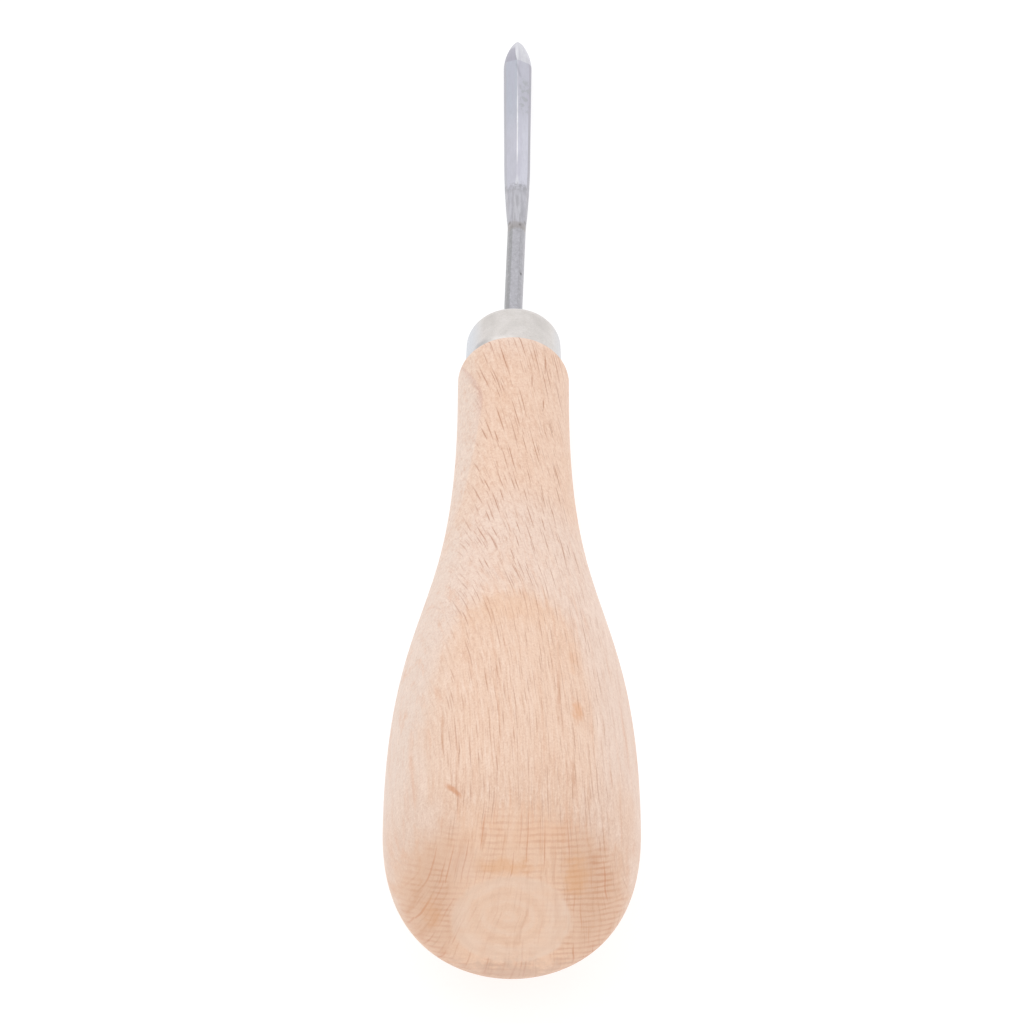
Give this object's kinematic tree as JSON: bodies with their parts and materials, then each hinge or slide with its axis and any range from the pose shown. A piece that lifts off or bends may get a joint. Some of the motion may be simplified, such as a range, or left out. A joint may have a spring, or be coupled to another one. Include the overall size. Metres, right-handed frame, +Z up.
{
  "type": "leather awl",
  "caption": "Leatherworking awl: pear-shaped turned beech handle with a flat butt, rounded metal cap ferrule and a straight steel blade of diamond section with a spear point.",
  "frame": {"origin": "middle of the lying awl's bounding box, on the floor under it", "axes": "+Z up, +Y from the butt towards the point along the floor, +X to the right seen from the butt; the tool's own axis falls 6.08 degrees towards the point, because belly and blade rest on the floor"},
  "size_m": [0.0324, 0.1738, 0.0337],
  "materials": {
    "handle_wood": "turned and sanded beech, thin clear satin finish",
    "ferrule_metal": "satin nickel-plated cap",
    "blade_steel": "ground and lightly polished steel"
  },
  "bodies": {
    "root": {"handle": "handle_wood", "ferrule": "ferrule_metal", "blade": "blade_steel"}
  },
  "joints": []
}
